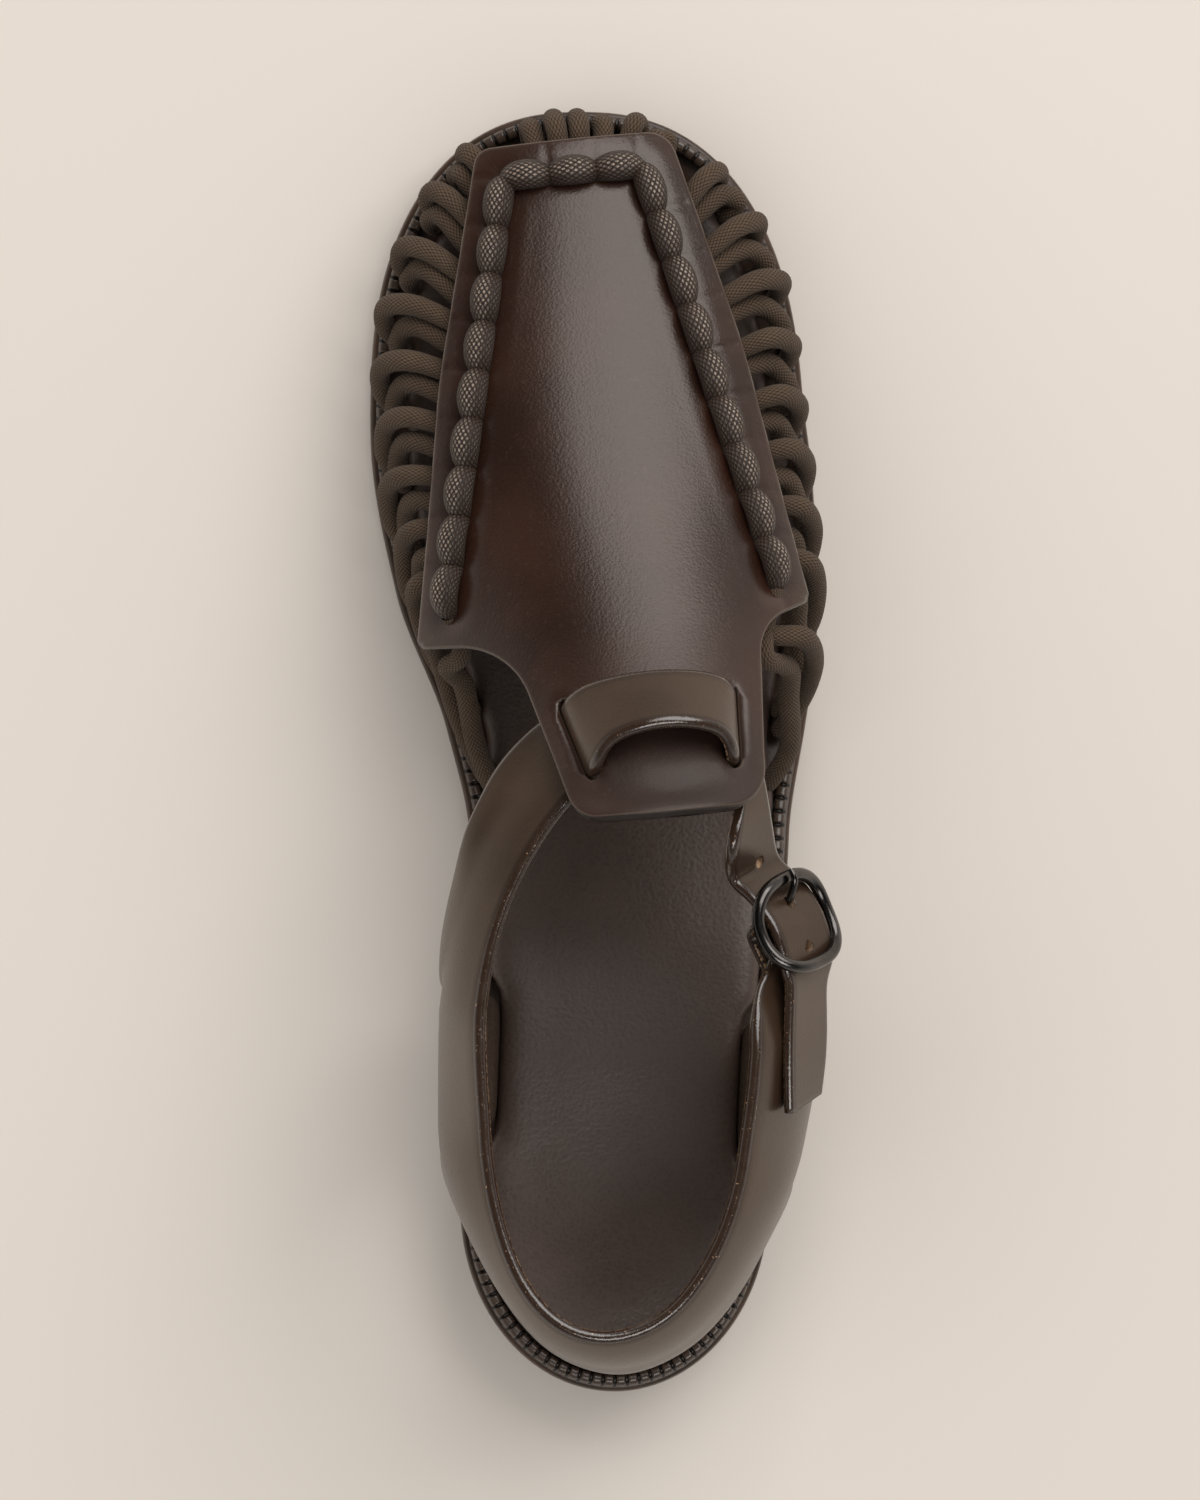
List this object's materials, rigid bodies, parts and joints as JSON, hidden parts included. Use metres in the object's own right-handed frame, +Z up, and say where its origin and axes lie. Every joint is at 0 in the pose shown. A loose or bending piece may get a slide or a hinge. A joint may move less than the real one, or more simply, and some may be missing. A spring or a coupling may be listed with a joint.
{
  "type": "t-strap sandal",
  "caption": "Flat t-strap sandal for the right foot: smooth leather vamp panel laced to a ribbed welt with thick waxed cord, one strap round the heel closed by a small buckle, low stacked heel.",
  "frame": {"origin": "on the floor under the middle of the heel, on the top lift's underside", "axes": "+Y from heel to toe, +X to the outer side of the foot, +Z up; the rest pose stands empty on its sole"},
  "size_m": [0.0936, 0.262, 0.0848],
  "materials": {
    "sole_leather": "satin",
    "smooth_leather": "polished",
    "strap_leather": "satin",
    "footbed_leather": "matte",
    "waxed_cord": "waxed",
    "heel_rubber": "matte",
    "gunmetal": "satin"
  },
  "bodies": {
    "root": {"top_lift": "heel_rubber", "heel_stack": "sole_leather", "outsole": "sole_leather", "welt": "sole_leather", "footbed": "footbed_leather", "vamp_panel": "smooth_leather", "lacing_cord": "waxed_cord", "ankle_strap": "strap_leather", "buckle_frame": "gunmetal", "buckle_prong": "gunmetal"}
  },
  "joints": []
}
